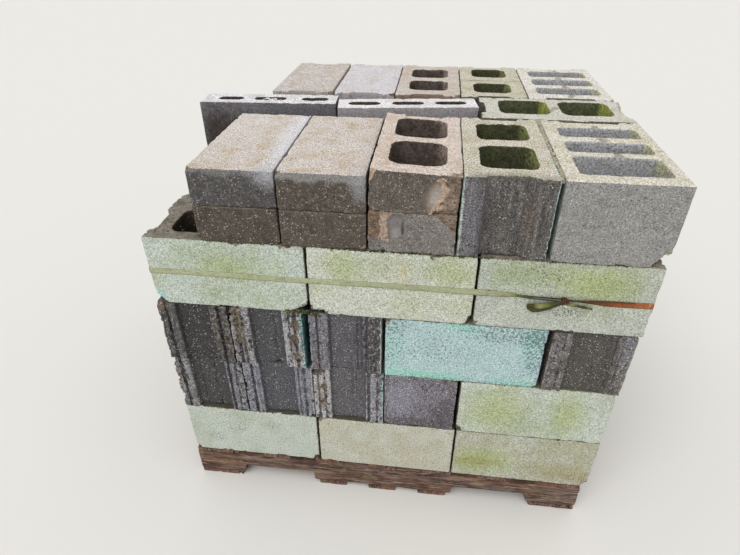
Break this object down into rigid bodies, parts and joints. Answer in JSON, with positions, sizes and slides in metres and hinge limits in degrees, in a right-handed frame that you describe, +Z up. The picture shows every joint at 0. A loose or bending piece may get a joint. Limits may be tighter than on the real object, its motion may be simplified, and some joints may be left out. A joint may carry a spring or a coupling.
{
  "type": "pallet of concrete blocks",
  "caption": "Used hollow and solid concrete blocks stacked in courses on a notched wooden pallet, with a loose mixed top course and a knotted strap round the load.",
  "frame": {"origin": "middle of the bounding box's underside, on the floor under the pallet", "axes": "+X along the front of the load to the right, +Y from the front to the back, +Z up"},
  "size_m": [1.2158, 1.0162, 1.0969],
  "materials": {
    "pallet_wood": "weathered, split, dirty",
    "bare_concrete": "rough, damp, stained",
    "pale_painted_concrete": "old pale paint with algae on rough concrete",
    "turquoise_painted_concrete": "worn turquoise paint on rough concrete",
    "weathered_concrete": "sun-bleached, rough, with moss in the cores",
    "strap_webbing": "weathered flat webbing, partly rust-stained"
  },
  "bodies": {
    "root": {"bottom_deck_board_1": "pallet_wood", "bottom_deck_board_2": "pallet_wood", "bottom_deck_board_3": "pallet_wood", "bottom_deck_board_4": "pallet_wood", "bottom_deck_board_5": "pallet_wood", "course_1_back_row": "bare_concrete", "course_1_front_left": "pale_painted_concrete", "course_1_front_middle": "pale_painted_concrete", "course_1_front_right": "pale_painted_concrete", "course_1_middle_rows": "bare_concrete", "course_2_back_row": "bare_concrete", "course_2_front_end_1": "bare_concrete", "course_2_front_end_2": "bare_concrete", "course_2_front_end_3": "bare_concrete", "course_2_front_plain_end": "bare_concrete", "course_2_front_stretcher": "pale_painted_concrete", "course_2_middle_row": "bare_concrete", "course_3_back_row": "bare_concrete", "course_3_front_end_1": "bare_concrete", "course_3_front_end_2": "bare_concrete", "course_3_front_end_3": "bare_concrete", "course_3_front_end_4": "bare_concrete", "course_3_front_stretcher": "turquoise_painted_concrete", "course_3_middle_row": "bare_concrete", "course_4_back_row": "bare_concrete", "course_4_front_left": "pale_painted_concrete", "course_4_front_middle": "pale_painted_concrete", "course_4_front_right": "pale_painted_concrete", "course_4_middle_rows": "bare_concrete", "course_4_second_row": "bare_concrete", "strap": "strap_webbing", "strap_knot": "strap_webbing", "stringer_back": "pallet_wood", "stringer_front": "pallet_wood", "stringer_middle": "pallet_wood", "top_back_cored": "weathered_concrete", "top_back_solid_1": "weathered_concrete", "top_back_solid_2": "weathered_concrete", "top_back_split": "weathered_concrete", "top_back_wide": "weathered_concrete", "top_deck_board_1": "pallet_wood", "top_deck_board_2": "pallet_wood", "top_deck_board_3": "pallet_wood", "top_deck_board_4": "pallet_wood", "top_deck_board_5": "pallet_wood", "top_deck_board_6": "pallet_wood", "top_deck_board_7": "pallet_wood", "top_middle_stretcher": "weathered_concrete", "top_ribbed_block": "weathered_concrete", "top_stack_1_lower": "weathered_concrete", "top_stack_1_upper": "weathered_concrete", "top_stack_2_lower": "weathered_concrete", "top_stack_2_upper": "weathered_concrete", "top_stack_3_lower": "weathered_concrete", "top_stack_3_upper": "weathered_concrete", "top_thin_block_left": "weathered_concrete", "top_thin_block_right": "weathered_concrete", "top_wide_block": "weathered_concrete"}
  },
  "joints": []
}
